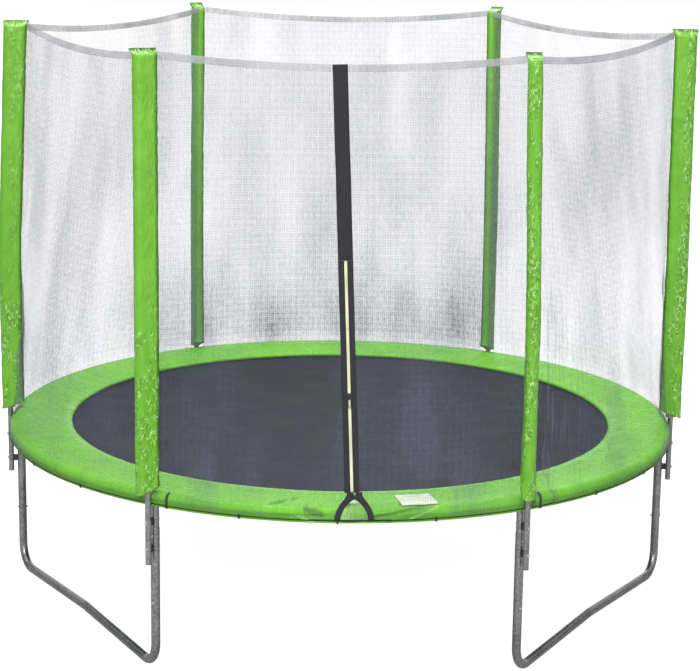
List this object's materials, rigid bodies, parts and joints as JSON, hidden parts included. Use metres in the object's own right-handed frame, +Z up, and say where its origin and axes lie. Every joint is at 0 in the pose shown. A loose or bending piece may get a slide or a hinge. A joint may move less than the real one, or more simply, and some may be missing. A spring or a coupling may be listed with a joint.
{
  "type": "trampoline",
  "caption": "Round garden trampoline on U-shaped tube legs with a sprung mat, a padded edge cover and a tall mesh safety net on sleeved poles, with a zipped entrance.",
  "frame": {"origin": "on the ground under the middle of the mat", "axes": "+Z up, -Y towards the zipped entrance, +X to the right seen from the entrance"},
  "size_m": [3.1938, 3.0887, 2.592],
  "materials": {
    "galvanised_tube": "satin",
    "zinc_plated": "satin",
    "black_plastic": "matte",
    "grey_foam": "matte",
    "white_foam": "matte",
    "green_cover": "gloss",
    "mat_fabric": "matte",
    "black_webbing": "matte",
    "patch": "satin",
    "net_mesh": "matte",
    "white_hem": "matte",
    "zip_coil": "satin",
    "zip_metal": "satin"
  },
  "bodies": {
    "frame": {"ring_segment_1": "galvanised_tube", "ring_segment_2": "galvanised_tube", "ring_segment_3": "galvanised_tube", "ring_segment_4": "galvanised_tube", "ring_segment_5": "galvanised_tube", "ring_segment_6": "galvanised_tube", "leg_post_1": "galvanised_tube", "leg_post_2": "galvanised_tube", "leg_post_3": "galvanised_tube", "leg_post_4": "galvanised_tube", "leg_post_5": "galvanised_tube", "leg_post_6": "galvanised_tube", "leg_base_1": "galvanised_tube", "leg_base_2": "galvanised_tube", "leg_base_3": "galvanised_tube", "pole_lower_1": "galvanised_tube", "pole_lower_2": "galvanised_tube", "pole_lower_3": "galvanised_tube", "pole_lower_4": "galvanised_tube", "pole_lower_5": "galvanised_tube", "pole_lower_6": "galvanised_tube", "pole_upper_1": "galvanised_tube", "pole_upper_2": "galvanised_tube", "pole_upper_3": "galvanised_tube", "pole_upper_4": "galvanised_tube", "pole_upper_5": "galvanised_tube", "pole_upper_6": "galvanised_tube", "pole_sleeve_1": "green_cover", "pole_sleeve_2": "green_cover", "pole_sleeve_3": "green_cover", "pole_sleeve_4": "green_cover", "pole_sleeve_5": "green_cover", "pole_sleeve_6": "green_cover", "leg_bolts": "zinc_plated", "clamp_bolts": "zinc_plated", "springs": "zinc_plated", "pole_caps": "black_plastic", "pole_plugs": "black_plastic", "clamp_spacers": "black_plastic", "pole_foam": "grey_foam", "pad_foam": "white_foam", "safety_pad_cover": "green_cover", "pad_straps": "black_webbing", "pad_labels": "patch", "safety_net": "net_mesh", "net_top_hem": "white_hem", "net_bottom_hem": "black_webbing", "net_ties": "black_webbing", "entrance_strip": "black_webbing", "entrance_binding": "black_webbing", "zip_tape": "black_webbing", "zip_coil": "zip_coil"},
    "mat": {"jump_mat": "mat_fabric", "mat_hem": "black_webbing", "mat_rings": "zinc_plated", "mat_tabs": "black_webbing"},
    "zip_slider": {"zip_slider": "zip_metal"},
    "zip_pull": {"zip_pull": "zip_metal"}
  },
  "joints": [
    {"name": "mat_bounce", "type": "slide", "parent": "frame", "child": "mat", "axis": [0, 0, 1], "range_m": [-0.2, 0], "stiffness_N_per_m": 5000, "springref_m": 0.012, "deforming": ["springs"]},
    {"name": "zip_slide", "type": "slide", "parent": "frame", "child": "zip_slider", "axis": [-0.0414, 0.1333, 0.9902], "range_m": [-0.363, 0.519]},
    {"name": "zip_pull_swing", "type": "hinge", "parent": "zip_slider", "child": "zip_pull", "pos_m": [0.04076, -1.48621, 1.23632], "axis": [-0.9991, -0.0055, -0.041], "range_deg": [0, 150]}
  ]
}
